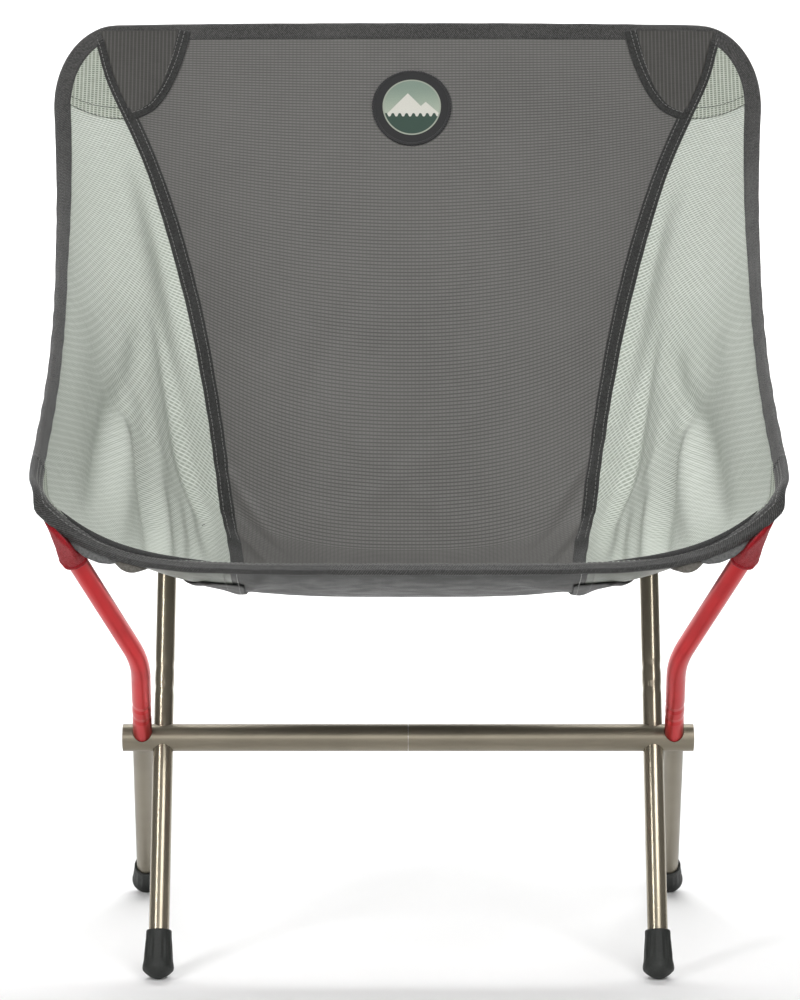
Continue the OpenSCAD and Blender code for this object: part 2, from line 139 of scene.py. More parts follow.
# Soft creases in the cloth: the line as [u, v] points, depth (+ away from the sitter) and half width in mm
WING_CREASES = [
    ([(0.76, 0.47), (0.835, 0.62), (0.853, 0.72), (0.861, 0.90)], 3.6, 7),
    ([(0.81, 0.56), (0.758, 0.67), (0.723, 0.76), (0.70, 0.88)], 3.2, 6),
    ([(0.72, 0.44), (0.652, 0.566), (0.587, 0.64), (0.565, 0.74)], 3.0, 6),
    ([(0.70, 0.62), (0.665, 0.71), (0.635, 0.84)], 2.4, 5),
    ([(0.64, 0.62), (0.61, 0.72), (0.60, 0.86)], 1.6, 4),
    ([(0.80, 0.50), (0.805, 0.62), (0.795, 0.74), (0.785, 0.90)], -3.0, 8),
    ([(0.74, 0.52), (0.705, 0.62), (0.67, 0.76), (0.655, 0.88)], -2.4, 7),
    ([(0.92, 0.50), (0.925, 0.66), (0.93, 0.86)], -2.0, 12),
    ([(0.93, 0.12), (0.90, 0.34), (0.91, 0.56)], 1.6, 22),
    ([(0.80, 0.20), (0.76, 0.36), (0.74, 0.50)], -1.4, 18),
    ([(0.76, 0.24), (0.69, 0.36), (0.62, 0.50)], 3.2, 12),
]
PANEL_CREASES = [
    ([(0.60, 0.50), (0.50, 0.535), (0.38, 0.575)], 0.9, 5),
    ([(0.57, 0.53), (0.46, 0.575), (0.34, 0.63)], -0.9, 6),
    ([(0.55, 0.57), (0.46, 0.62), (0.37, 0.68)], 1.1, 5),
    ([(0.53, 0.61), (0.45, 0.67), (0.37, 0.74)], -0.9, 5),
    ([(0.52, 0.66), (0.45, 0.72), (0.39, 0.79)], 1.0, 5),
    ([(0.51, 0.84), (0.46, 0.90), (0.41, 0.95)], 1.6, 6),
    ([(0.40, 0.86), (0.33, 0.91), (0.27, 0.95)], -1.2, 8),
    ([(0.30, 0.38), (0.18, 0.45), (0.05, 0.50)], 0.7, 8),
    ([(0.10, 0.47), (-0.08, 0.52), (-0.28, 0.56)], 0.7, 8),
    ([(0.22, 0.05), (0.20, 0.20), (0.24, 0.36)], -0.8, 26),
]
WING_DEPTH, WING_WIDTH, PANEL_DEPTH = 2.2, 0.85, 1.5
# the hem's roll: its height, how far in it is highest, and the cloth's length per unit of v in the middle
# of the hem, with what it loses by the side edge
ROLL, ROLL_AT, HEM_LENGTH, HEM_LOSS = 5.0, 10, 1078, 316


def crease(u, v, line, depth, width):
    """A soft groove along a line, deepest halfway."""
    x, y = u * half_width(v), v * LENGTH
    pts = [np.array([a * half_width(b), b * LENGTH]) for a, b in line]
    runs = [np.linalg.norm(b - a) for a, b in zip(pts, pts[1:])]
    total, best, share, past = sum(runs), np.full(np.shape(x), 1e9), np.zeros(np.shape(x)), 0
    for a, b, r in zip(pts, pts[1:], runs):
        t = np.clip(((x - a[0]) * (b[0] - a[0]) + (y - a[1]) * (b[1] - a[1])) / r ** 2, 0, 1)
        d = np.hypot(x - a[0] - t * (b[0] - a[0]), y - a[1] - t * (b[1] - a[1]))
        share = np.where(d < best, (past + t * r) / total, share)
        best = np.minimum(best, d)
        past += r
    return depth * np.exp(-(best / width) ** 2) * np.sin(math.pi * np.clip(share, 0.02, 0.98)) ** 0.7


def scallops(distance, span, size, run, turns, sway, drift):
    """Small waves within a span of a stitched line. They sway, so that they aren't regular."""
    return size * np.exp(-(distance / span) ** 2) * np.sin(run * turns + sway * np.sin(run * drift))


def drape(u, v):
    """How far the cloth stands off the smooth surface, in millimetres, + away from the sitter."""
    u = np.asarray(u, float)
    v = np.clip(np.asarray(v, float), 0, 1)
    off = np.zeros(np.broadcast(u, v).shape)
    # the two sides differ a little, as on a real chair
    for side, k, shift in ((1, 1.0, 0.0), (-1, 0.92, 0.012)):
        for line, depth, width in WING_CREASES:
            moved = [(a + shift, b - shift) for a, b in line]
            off += crease(u * side, v, moved, WING_DEPTH * depth * k, WING_WIDTH * width)
        for line, depth, width in PANEL_CREASES:
            moved = [(a - 2 * shift, b + 2 * shift) for a, b in line]
            off += crease(u * side, v, moved, PANEL_DEPTH * depth * k, width)
    # the hem rolls forward over its own edge
    d = (1 - v) * (HEM_LENGTH - HEM_LOSS * np.abs(u) ** 4) / ROLL_AT
    off -= ROLL * d * np.exp(1 - d)
    # slight scallops between the stitches of the long seams, the side edges and the top edge
    x = np.abs(u) * half_width(v)
    off += scallops(x - u_seam(v) * half_width(v), 14, 0.35, v, 190, 3, 23) * np.clip(v * 2, 0, 1)
    off += scallops(x - u_limit(v) * half_width(v), 16, 0.15, v, 95, 2, 31)
    return off + scallops(v * LENGTH, 14, 0.2, u, 38, 2, 11)


def sling(u, v, lift=0.0):
    """Points on the draped cloth, lifted off it in millimetres, + away from the sitter."""
    u, v = np.asarray(u, float), np.asarray(v, float)
    return base(u, v) + (drape(u, v) + lift)[..., None] * normal(u, v)


def move(u, v, way):
    """The [u, v] reached by going that vector, in millimetres, along the surface."""
    su, sv = slopes(u, v)
    e, f, g = (su * su).sum(-1), (su * sv).sum(-1), (sv * sv).sum(-1)
    p, q = (way * su).sum(-1), (way * sv).sum(-1)
    k = e * g - f * f
    return u + (p * g - q * f) / k, v + (q * e - p * f) / k


def along(p):
    """The distance run at each point of a path."""
    return np.concatenate([[0], np.cumsum(np.linalg.norm(np.diff(p, axis=0), axis=1))])


def even(u, v, step):
    """The path again, with points about step millimetres apart."""
    s = along(base(u, v))
    n = max(3, int(round(s[-1] / step)) + 1)
    at = np.linspace(0, s[-1], n)
    return np.interp(at, s, u), np.interp(at, s, v)


def inward(u, v, towards):
    """Directions on the surface, square to a path, on the side where the given point is."""
    p = base(u, v)
    t = unit(np.gradient(p, axis=0))
    w = unit(np.cross(t, normal(u, v)))
    return w * np.sign(((np.array(towards, float) - p) * w).sum(-1, keepdims=True).sum())


centre = sling(0.0, 0.5)


def between(a, b, share):
    """A grid from the values a to the values b, at each share of the way."""
    return a[:, None] * (1 - share) + b[:, None] * share


# ---------------------------------------------------------------- mesh helpers
def make(name, points, faces, mat, uv=None, body="frame"):
    """An object from points and UVs in millimetres. It rides on a body, unless body is None."""
    mesh = bpy.data.meshes.new(name)
    mesh.from_pydata([tuple(p) for p in np.reshape(points, (-1, 3)) * MM], [], faces)
    mesh.validate()
    if uv is not None:
        layer = mesh.uv_layers.new(name="UVMap")
        index = np.zeros(len(mesh.loops), np.int32)
        mesh.loops.foreach_get("vertex_index", index)
        layer.data.foreach_set("uv", (np.reshape(uv, (-1, 2))[index] * MM).astype(np.float32).ravel())
    mesh.polygons.foreach_set("use_smooth", [True] * len(mesh.polygons))
    mesh.materials.append(mat)
    obj = bpy.data.objects.new(name, mesh)
    bpy.context.scene.collection.objects.link(obj)
    if body:
        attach(obj, body)
    return obj


def grid_faces(n, m, wrap=False, start=0, flip=False):
    out = []
    for i in range(n - 1):
        for j in range(m if wrap else m - 1):
            a, b = start + i * m + j, start + i * m + (j + 1) % m
            f = (a, b, b + m, a + m)
            out.append(f[::-1] if flip else f)
    return out


def end_faces(n, m):
    """The two ends of n rings of m points."""
    last = (n - 1) * m
    return [tuple(range(m))[::-1], tuple(last + i for i in range(m))]


def two_sided(obj, thick, upper=None):
    """Thickness for a cloth. An upper material goes on the sitter's side, and its own stays underneath."""
    solid = obj.modifiers.new("cloth", "SOLIDIFY")
    solid.thickness, solid.offset = thick * MM, 0
    if upper:
        obj.data.materials.append(upper)
        solid.material_offset = solid.material_offset_rim = 1


def cloth_piece(name, u, v, s, mat, lift=0.0, thick=0.5, turn=0.0, under=None):
    """A piece of the sling. Each row has one v and its own u from the middle outwards; s mirrors it."""
    u = u if s > 0 else -u[:, ::-1]
    v = np.repeat(v[:, None], u.shape[1], 1)
    x, y = u * half_width(v), v * LENGTH
    c, k = math.cos(turn * s), math.sin(turn * s)
    uv = np.stack([x * c - y * k, x * k + y * c], -1)
    obj = make(name, sling(u, v, lift), grid_faces(*u.shape), under or mat, uv)
    two_sided(obj, thick, mat if under else None)
    return obj


def patch_piece(name, u, v, s, lift, mat):
    """One more layer of cloth sewn on the sling, on the sitter's side."""
    uv = np.stack([u * s * half_width(v), v * LENGTH], -1)
    obj = make(name, sling(u * s, v, lift), grid_faces(*u.shape, flip=s < 0), mat, uv)
    two_sided(obj, 0.4)
    return obj


def edge_piece(name, u, v, reach, lift, rows, pitch, mat, flip):
    """A layer of cloth beside a path: row j, from 0 to 1, lies reach(j) inwards and is lifted by lift(j)."""
    w = inward(u, v, centre)
    grid = []
    for j in np.linspace(0, 1, rows):
        a, b = move(u, v, w * reach(j)[:, None])
        grid.append(sling(a, b, lift(j)))
    uv = np.stack(np.meshgrid(along(base(u, v)), np.arange(rows) * pitch), -1)
    return make(name, grid, grid_faces(rows, len(u), flip=flip), mat, uv)


def strip(name, rings, s, widths, mat):
    """A closed strip. Each of its lines runs the length s, and widths is the way round its section."""
    n, m = len(s), len(rings)
    uv = np.stack([np.repeat(s, m), np.tile(widths, n)], -1)
    faces = grid_faces(n, m, wrap=True) + end_faces(n, m)
    return make(name, np.stack(rings, 1), faces, mat, uv)


def ribbon(name, u, v, section, towards, mat, lumps=0.0):
    """A strip along a path on the sling. Its section is [distance inwards, lift] points, in millimetres."""
    w, k = inward(u, v, towards), normal(u, v)
    s = along(base(u, v))
    rings = []
    for d, lift in section:
        p = sling(*move(u, v, w * d), lift) if d > 0 else sling(u, v, lift) + d * w
        rings.append(p + k * (lumps * np.sin(s / 5.3 + d))[:, None])
    return strip(name, rings, s, along(np.array(section, float)), mat)


def roll(name, u, v, d, lift, half, deep, mat):
    """A soft roll along a path, d inwards and lifted. It tapers at both ends."""
    w = inward(u, v, centre)
    swell = np.clip(np.sin(math.pi * np.linspace(0, 1, len(u))), 0.02, 1) ** 0.5
    ring = 20
    turns = [2 * math.pi * i / ring for i in range(ring)]
    rings = []
    for q in turns:
        a, b = move(u, v, w * (d + half * swell * math.cos(q))[:, None])
        rings.append(sling(a, b, lift + deep * swell * math.sin(q)))
    strip(name, rings, along(base(u, v)), [q * half for q in turns], mat)


def stitch_mesh(name, rows, mat, length=2.5, gap=0.8, radius=0.28):
    """Rows of thread. Each row is points on the cloth and the normals there, in millimetres."""
    ring, profile = 6, [(-1, 0.0), (-0.86, 0.75), (-0.4, 1.0), (0.4, 1.0), (0.86, 0.75), (1, 0.0)]
    points, faces = [], []
    for p, k in rows:
        s = along(p)
        for c in np.arange(length, s[-1] - length, length + gap):
            middle = np.array([np.interp(c, s, p[:, a]) for a in range(3)])
            ends = [np.array([np.interp(c + e * length / 2, s, p[:, a]) for a in range(3)]) for e in (-1, 1)]
            t = unit(ends[1] - ends[0])
            z = np.array([np.interp(c, s, k[:, a]) for a in range(3)])
            z = unit(z - t * (z @ t))
            x = np.cross(t, z)
            first = len(points)
            for e, r in profile:
                for a in range(ring):
                    q = 2 * math.pi * a / ring
                    across = radius * r * (x * math.cos(q) + 0.8 * z * math.sin(q))
                    points.append(middle + t * e * length / 2 + across - z * radius * 0.5 * (1 - r))
            faces += grid_faces(len(profile), ring, wrap=True, start=first)
    make(name, points, faces, mat)


def row(u, v, lift):
    """A stitch row's points, and the way its threads face."""
    return sling(u, v, lift), normal(u, v) * np.sign(lift)


def row_beside(u, v, towards, d, lift):
    """A stitch row at a distance inwards from a path on the sling."""
    return row(*move(u, v, inward(u, v, towards) * d), lift)


# how far round a turned piece its texture runs, whatever its own radius
GIRTH = 2 * math.pi * 10


def lathe(name, profile, origin, axis, mat, body, segments, shape=None):
    """A turned piece: profile is [radius, height] in millimetres, along the axis from the origin."""
    axis = unit(np.array(axis, float))
    x = unit(np.cross(axis, [0.0, 1.0, 0.2]))
    y = np.cross(axis, x)
    points = []
    for r, h in profile:
        for a in range(segments):
            q = 2 * math.pi * a / segments
            reach = r * (shape(q, h) if shape else 1)
            points.append(origin + axis * h + reach * (x * math.cos(q) + y * math.sin(q)))
    faces = grid_faces(len(profile), segments, wrap=True) + end_faces(len(profile), segments)
    run = along(np.array(profile, float))
    uv = [[GIRTH * a / segments, h] for h in run for a in range(segments)]
    return make(name, points, faces, mat, uv, body)


# ---------------------------------------------------------------- materials
class Mat:
    """A small wrapper that builds a node material."""

    def __init__(self, name, **values):
        self.mat = bpy.data.materials.new(name)
        self.mat.use_nodes = True
        self.tree = self.mat.node_tree
        self.shader = next(n for n in self.tree.nodes if n.type == "BSDF_PRINCIPLED")
        for key, value in values.items():
            self.put(key, value)

    def put(self, socket, value):
        socket = socket.replace("_", " ")
        target = self.shader.inputs[socket]
        if isinstance(value, bpy.types.NodeSocket):
            self.tree.links.new(value, target)
        elif target.type == "RGBA" and len(value) == 3:
            target.default_value = (*value, 1)
        else:
            target.default_value = value

    def node(self, kind, inputs=None, **settings):
        n = self.tree.nodes.new(kind)
        for key, value in settings.items():
            setattr(n, key, value)
        for key, value in (inputs or {}).items():
            if isinstance(value, bpy.types.NodeSocket):
                self.tree.links.new(value, n.inputs[key])
            else:
                n.inputs[key].default_value = value
        return n

    def math(self, operation, a, b=0.0):
        return self.node("ShaderNodeMath", {0: a, 1: b}, operation=operation).outputs[0]

    def ramp(self, value, low, high, to_low=0.0, to_high=1.0):
        n = self.node("ShaderNodeMapRange", {0: value, 1: low, 2: high, 3: to_low, 4: to_high},
                      interpolation_type="SMOOTHSTEP")
        return n.outputs[0]

    def mix(self, share, a, b):
        a, b = ((*c, 1) if isinstance(c, tuple) else c for c in (a, b))
        return self.node("ShaderNodeMix", {0: share, 6: a, 7: b}, data_type="RGBA").outputs[2]

    def uv(self):
        s = self.node("ShaderNodeSeparateXYZ", {0: self.node("ShaderNodeUVMap", uv_map="UVMap").outputs[0]})
        return s.outputs[0], s.outputs[1]

    def noise(self, scale, detail=3.0, rough=0.5, stretch=None):
        """Noise through the object, or, where it is stretched, along the piece's own cloth."""
        if stretch:
            c = self.node("ShaderNodeUVMap", uv_map="UVMap").outputs[0]
            c = self.node("ShaderNodeMapping", {0: c, 3: stretch}).outputs[0]
        else:
            c = self.node("ShaderNodeTexCoord").outputs["Object"]
        inputs = {"Vector": c, "Scale": scale, "Detail": detail, "Roughness": rough}
        return self.node("ShaderNodeTexNoise", inputs).outputs[0]

    def line(self, coordinate, pitch, width):
        """1 on a thread that repeats at a pitch, 0 between, all in metres."""
        f = self.math("FRACT", self.math("DIVIDE", coordinate, pitch))
        d = self.math("ABSOLUTE", self.math("SUBTRACT", f, 0.5))
        w = width / pitch / 2
        return self.ramp(d, 0.5 - 1.6 * w, 0.5 - 0.4 * w)

    def wave(self, coordinate, pitch):
        s = self.math("SINE", self.math("MULTIPLY", coordinate, 2 * math.pi / pitch))
        return self.ramp(s, -1.0, 1.0)

    def bump(self, height, strength, distance, after=None):
        inputs = {"Height": height, "Strength": strength, "Distance": distance}
        if after is not None:
            inputs["Normal"] = after
        return self.node("ShaderNodeBump", inputs).outputs[0]


def tint(colour, k, add=0.0):
    """A colour made darker or lighter."""
    return tuple(min(1, c * k + add) for c in colour)


# the thick threads' pitch and width, and the plain weave's pitch, in metres
RIP, RIP_WIDTH, WEAVE = 0.0028, 0.0010, 0.00052


def ripstop(name, cloth, rip, rough, sheen=0.06, across=0.5, down=0.5, rise=0.35):
    """Coated ripstop: a fine plain weave with a thicker thread every few millimetres each way."""
    m = Mat(name)
    x, y = m.uv()
    rib_x, rib_y = m.line(x, RIP, RIP_WIDTH), m.line(y, RIP, RIP_WIDTH)
    ribs = m.math("MAXIMUM", m.math("MULTIPLY", rib_x, down), m.math("MULTIPLY", rib_y, across))
    weave = m.math("MULTIPLY", m.wave(x, WEAVE), m.wave(y, WEAVE))
    slub = m.noise(900, 2.0, 0.6, stretch=(0.12, 1, 1))
    cloud = m.noise(9, 3.0, 0.55)
    colour = m.mix(ribs, cloth, rip)
    colour = m.mix(m.ramp(slub, 0.35, 0.7, 0.0, 0.22), colour, tint(cloth, 0.55))
    colour = m.mix(m.ramp(cloud, 0.3, 0.72, 0.0, 0.16), colour, tint(cloth, 1.22))
    m.put("Base_Color", colour)
    m.put("Roughness", m.ramp(m.noise(60, 2.0), 0.3, 0.7, rough - 0.06, rough + 0.08))
    m.put("Sheen_Weight", sheen)
    m.put("Sheen_Roughness", 0.45)
    m.put("Specular_IOR_Level", 0.35)
    first = m.bump(m.noise(38, 3.0, 0.6), 0.25, 0.0016)
    second = m.bump(weave, 0.25, 0.0002, first)
    m.put("Normal", m.bump(ribs, rise, 0.0002, second))
    return m.mat


def webbing(name, cloth, light, pitch=0.0011, rough=0.75, sheen=0.2):
    """Twill tape: fine slanting ribs over a plain ground."""
    m = Mat(name)
    x, y = m.uv()
    slant = m.math("ADD", x, m.math("MULTIPLY", y, 0.8))
    twill = m.wave(slant, pitch)
    fine = m.wave(m.math("SUBTRACT", y, x), 0.0007)
    grain = m.noise(700, 3.0, 0.7)
    cloud = m.noise(22, 3.0)
    colour = m.mix(m.math("MULTIPLY", twill, 0.8), cloth, light)
    colour = m.mix(m.ramp(grain, 0.35, 0.65, 0.0, 0.65), colour, tint(cloth, 0.45))
    colour = m.mix(m.ramp(cloud, 0.4, 0.75, 0.0, 0.2), colour, light)
    m.put("Base_Color", colour)
    m.put("Roughness", m.ramp(grain, 0.3, 0.7, rough - 0.08, rough + 0.1))
    m.put("Sheen_Weight", sheen)
    m.put("Specular_IOR_Level", 0.25)
    first = m.bump(m.math("ADD", twill, m.math("MULTIPLY", fine, 0.5)), 0.5, 0.0003)
    m.put("Normal", m.bump(cloud, 0.3, 0.001, first))
    return m.mat


def anodised(name, colour, deep, rough=0.3, coat=0.0, metal=1.0):
    """Anodised aluminium tube: drawn grain, a cloudy dye and small scuffs."""
    m = Mat(name, Metallic=metal)
    grain = m.noise(1400, 3.0, 0.7)
    cloud = m.noise(18, 3.0)
    scuff = m.ramp(m.noise(160, 6.0, 0.75), 0.69, 0.76)
    tone = m.mix(m.ramp(cloud, 0.35, 0.7), colour, deep)
    m.put("Base_Color", m.mix(m.math("MULTIPLY", scuff, 0.12), tone, tint(colour, 1.5, 0.03)))
    fine = m.ramp(grain, 0.3, 0.7, rough - 0.02, rough + 0.03)
    m.put("Roughness", m.math("ADD", fine, m.math("MULTIPLY", scuff, 0.12)))
    m.put("Coat_Weight", coat)
    m.put("Coat_Roughness", 0.12)
    first = m.bump(grain, 0.03, 0.00005)
    m.put("Normal", m.bump(scuff, 0.05, 0.00005, first))
    return m.mat


def rubber(name, colour, rough=0.62):
    """Moulded rubber or plastic with a fine grain and a little dust."""
    m = Mat(name)
    grain = m.noise(1100, 4.0, 0.7)
    dust = m.noise(30, 4.0, 0.6)
    m.put("Base_Color", m.mix(m.ramp(dust, 0.45, 0.8, 0.0, 0.35), colour, tint(colour, 2.2, 0.01)))
    m.put("Roughness", m.ramp(grain, 0.3, 0.7, rough - 0.1, rough + 0.1))
    first = m.bump(grain, 0.25, 0.00015)
    m.put("Normal", m.bump(dust, 0.1, 0.0008, first))
    return m.mat


def thread(name, colour):
    """Sewing thread with its plies."""
    m = Mat(name, Roughness=0.6)
    ply = m.wave(m.noise(2600, 1.0), 0.2)
    m.put("Base_Color", m.mix(ply, colour, tint(colour, 0.6)))
    m.put("Sheen_Weight", 0.3)
    m.put("Normal", m.bump(ply, 0.3, 0.0001))
    return m.mat


def braid(name, colour, fleck):
    """A braided cover: two sets of strands, with light flecks."""
    m = Mat(name, Roughness=0.7)
    x, y = m.uv()
    a = m.wave(m.math("ADD", x, y), 0.0012)
    b = m.wave(m.math("SUBTRACT", x, y), 0.0012)
    both = m.math("MAXIMUM", a, b)
    strands = m.mix(both, tint(colour, 0.4), colour)
    m.put("Base_Color", m.mix(m.ramp(m.noise(500), 0.62, 0.7), strands, fleck))
    m.put("Normal", m.bump(both, 0.6, 0.0003))
    m.put("Sheen_Weight", 0.3)
    return m.mat


GREY = ripstop("grey_ripstop", (0.158, 0.154, 0.146), (0.062, 0.060, 0.057), 0.46, across=0.9, down=0.4)
# the undersides are the coated cloth, made much darker than the top side: painted shade, as they face the
# floor under the seat
SAGE_UNDERSIDE_SHADED = ripstop("coated_sage_underside_painted_shade", (0.150, 0.166, 0.141), (0.115, 0.128, 0.108), 0.36,
                      sheen=0.0, rise=0.15)
UNDERSIDE_SHADED = ripstop("coated_underside_painted_shade", (0.040, 0.042, 0.040), (0.030, 0.031, 0.030), 0.50,
                 sheen=0.0, rise=0.15)
DARK = ripstop("dark_ripstop", (0.050, 0.048, 0.044), (0.115, 0.112, 0.104), 0.6, sheen=0.05,
               across=0.12, down=0.7)
SAGE = ripstop("sage_ripstop", (0.365, 0.406, 0.344), (0.82, 0.85, 0.80), 0.52, across=0.9, down=0.35)
# a darker copy of the sage: painted shade, for the second layer at the top corners, which lets less light
# through from behind, and for the lining in the shaded front corners
SAGE_SHADED = ripstop("sage_painted_shade", (0.185, 0.212, 0.165), (0.60, 0.64, 0.56), 0.55, across=0.9, down=0.9)
TAPE = webbing("charcoal_tape", (0.026, 0.026, 0.025), (0.070, 0.070, 0.068))
EDGE = webbing("binding_twill", (0.037, 0.037, 0.036), (0.145, 0.142, 0.137), pitch=0.0016)
# near black: painted shadow along the hem's inner edge
HEM_SHADOW_STRIP = webbing("hem_painted_shadow", (0.010, 0.010, 0.010), (0.034, 0.034, 0.033), sheen=0.05)
# the binding's twill made darker for the front hem: painted shade
HEM = webbing("hem_twill_painted_shade", (0.026, 0.026, 0.025), (0.090, 0.089, 0.086), pitch=0.0016)
FLAP = webbing("grey_flap", (0.11, 0.112, 0.11), (0.17, 0.172, 0.17), rough=0.6)
RED_CLOTH = webbing("red_cloth", (0.33, 0.006, 0.013), (0.44, 0.010, 0.019), pitch=0.0009, rough=0.6,
                    sheen=0.0)
TAUPE = webbing("taupe_flap", (0.12, 0.112, 0.098), (0.17, 0.16, 0.14), rough=0.6)
BRONZE = anodised("bronze_anodised", (0.39, 0.345, 0.262), (0.34, 0.30, 0.228), rough=0.23, metal=0.72)
# a darker copy of the bronze: painted shade for the hub and the rear legs, which lie in shadow under the seat
BRONZE_SHADED = anodised("bronze_painted_shade", (0.25, 0.222, 0.168), (0.22, 0.195, 0.147), rough=0.38, metal=0.72)
RED = anodised("red_anodised", (0.56, 0.008, 0.012), (0.44, 0.005, 0.008), coat=0.06, metal=0.72)
ALUMINIUM = anodised("plain_aluminium", (0.78, 0.78, 0.78), (0.7, 0.7, 0.7))
RUBBER = rubber("foot_rubber", (0.013, 0.015, 0.013))
PLASTIC = rubber("black_plastic", (0.020, 0.020, 0.021), rough=0.42)
CORD = braid("shock_cord", (0.03, 0.03, 0.03), (0.35, 0.35, 0.35))
THREAD_DARK = thread("dark_thread", (0.030, 0.030, 0.030))
THREAD_MID = thread("grey_thread", (0.19, 0.19, 0.18))
THREAD_LIGHT = thread("light_thread", (0.42, 0.43, 0.41))


def paint(mat, *names):
    """A material for solids that stay as they are in the frame."""
    for name in names:
        obj = NODES[name]
        if not obj.material_slots:
            obj.data.materials.append(mat)
        for s in obj.material_slots:
            s.link = "OBJECT"
            s.material = mat


PLASTIC_PARTS = ("hub_end_plug", "front_leg_plug", "rear_leg_plug", "back_pole_tip", "seat_pole_tip")
for side, _ in SIDES:
    paint(BRONZE, *[n + "_" + side for n in ("front_leg", "back_pole_lower", "back_pole_upper")])
    # the hub and the rear legs take the darker bronze, as painted shade
    paint(BRONZE_SHADED, "hub_tube_" + side, "rear_leg_" + side)
    paint(RED, "seat_pole_" + side)
    paint(ALUMINIUM, *[n + "_" + side for n in ("front_spigot", "rear_spigot", "back_pole_ferrule")])
    paint(PLASTIC, *[n + "_" + side for n in PLASTIC_PARTS])
paint(ALUMINIUM, "hub_ferrule")
paint(CORD, "hub_cord")

# ---------------------------------------------------------------- panels
# rows lie closer together near the top edge and the hem
steps = np.linspace(0, 1, 261)
rows = 0.45 * (1 - np.cos(math.pi * steps)) / 2 + 0.55 * steps
panel_u = np.minimum(u_seam(rows), u_limit(rows))[:, None] * np.linspace(-1, 1, 141)
# the panel's underside takes the darker coated cloth, as painted shade
panel = cloth_piece("seat_and_back_panel", panel_u, rows, 1, GREY, under=UNDERSIDE_SHADED)
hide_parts("centre_panel")

for side, s in SIDES:
    v = rows[rows > 0.012]
    u = between(u_seam(v), u_limit(v), np.linspace(0, 1, 71) ** 0.9)
    # the side panels' undersides take the darker coated sage, as painted shade
    cloth_piece("wing_" + side, u, v, s, SAGE, turn=math.radians(14),
                              under=SAGE_UNDERSIDE_SHADED)
    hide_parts("side_panel_" + side)

# ---------------------------------------------------------------- bound edges
# where the side binding ends, and how far the hem's binding laps over it
JOIN, LAP = 0.925, 0.012
FOLD = [(11, -0.55), (10.7, -1.15), (9.0, -1.28), (5.5, -1.42), (2.0, -1.6), (0.0, -1.6), (-1.0, -1.2),
        (-1.5, -0.5), (-1.5, 0.5), (-1.0, 1.2), (0.0, 1.6), (2.0, 1.6), (5.5, 1.42), (9.0, 1.28),
        (10.7, 1.15), (11, 0.55)]
FRONT_FOLD = [(d * 1.04, lift * 1.22) for d, lift in FOLD]


def edge_path(v):
    """The bound edge: along v on the left side, across at its end, and back on the right side."""
    across = np.linspace(-1, 1, 401)[1:-1] * float(u_limit(v[-1]))
    u = np.concatenate([-u_limit(v), across, u_limit(v[::-1])])
    return even(u, np.concatenate([v, np.full(len(across), v[-1]), v[::-1]]), 3.0)


edge = edge_path(np.linspace(JOIN, 0, 500))
rim = ribbon("edge_binding", *edge, FOLD, centre, EDGE, lumps=0.12)
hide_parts("top_binding", "side_binding_left", "side_binding_right")
hem = edge_path(np.linspace(JOIN - LAP, 1, 120))
# the front hem takes the darker twill, as painted shade
hem_piece = ribbon("front_hem_binding", *hem, FRONT_FOLD, centre, HEM, lumps=0.12)
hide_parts("front_binding")

# rows as [distance inwards, lift], on the sitter's side and then on the underside
stitch_mesh("edge_stitching", [row_beside(*edge, centre, d, lift) for d, lift in
                               ((2.6, -1.62), (9.3, -1.34), (2.6, 1.62), (9.3, 1.34))], THREAD_DARK)
stitch_mesh("hem_stitching", [row_beside(*hem, centre, d, lift) for d, lift in
                              ((3.0, -1.98), (6.2, -1.85), (9.6, -1.65), (9.6, 1.62))], THREAD_MID,
            radius=0.34)
# two short rows where the hem's binding laps over the side binding
joins = []
for _, s in SIDES:
    v = np.linspace(JOIN - 0.014, JOIN - 0.006, 3)
    u = u_limit(v) * s
    across = np.linspace(-0.5, 10.5, 12)[:, None] * inward(u, v, centre)[1]
    for shift in (0.0, 0.0035):
        joins.append(row(*move(np.full(12, u[1]), np.full(12, v[1] + shift), across), -2.02))
stitch_mesh("join_stitching", joins, THREAD_DARK, length=1.8, gap=0.5, radius=0.34)

# ---------------------------------------------------------------- layers round the front corners
for side, s in SIDES:
    # the hem's dark facing, which stands up from its inner edge
    k = np.linspace(0, 1, 90)
    # a near-black strip that stands up from the hem's inner edge: painted shadow where the binding's inner
    # face lies in shade
    swell = np.sin(math.pi * k) ** 0.5
    edge_piece("hem_painted_shadow_" + side, (0.935 - 0.42 * k) * s, np.ones(90),
               lambda j: 11.5 - swell * 7.5 * (1 - j), lambda j: -2.1 - swell * 2.2 * j ** 0.7,
               9, 1.0, HEM_SHADOW_STRIP, flip=s > 0)
    # an inner layer of the side panel's cloth round the corner itself, in the darker sage: painted shade
    # where the corner lies in shadow
    v = np.linspace(0.90, 1, 300)
    u = np.concatenate([u_limit(v), np.linspace(float(u_limit(1.0)), 0.84, 80)[1:]]) * s
    u, v = even(u, np.concatenate([v, np.ones(79)]), 2.0)
    bulge = np.sin(math.pi * np.clip(np.linspace(0, 1, len(u)), 0.001, 0.999)) ** 0.7
    lining = edge_piece("corner_lining_" + side, u, v, lambda j: 9.5 + 8.0 * bulge * j,
                        lambda j: -0.7 - 0.7 * j, 7, 1.3, SAGE_SHADED, flip=s < 0)
    two_sided(lining, 0.4)
    # the end of the hem's reinforcement and a tab, which bulge below the hem
    k = np.linspace(0, 1, 50)
    roll("hem_reinforcement_" + side, (0.895 - 0.155 * k) * s, np.ones(50), 7.0, 4.6, 9.0, 4.2, FLAP)
    k = np.linspace(0, 1, 40)
    roll("hem_tab_" + side, (0.775 - 0.095 * k) * s, np.ones(40), 8.0, 5.4, 9.0, 4.8, TAUPE)

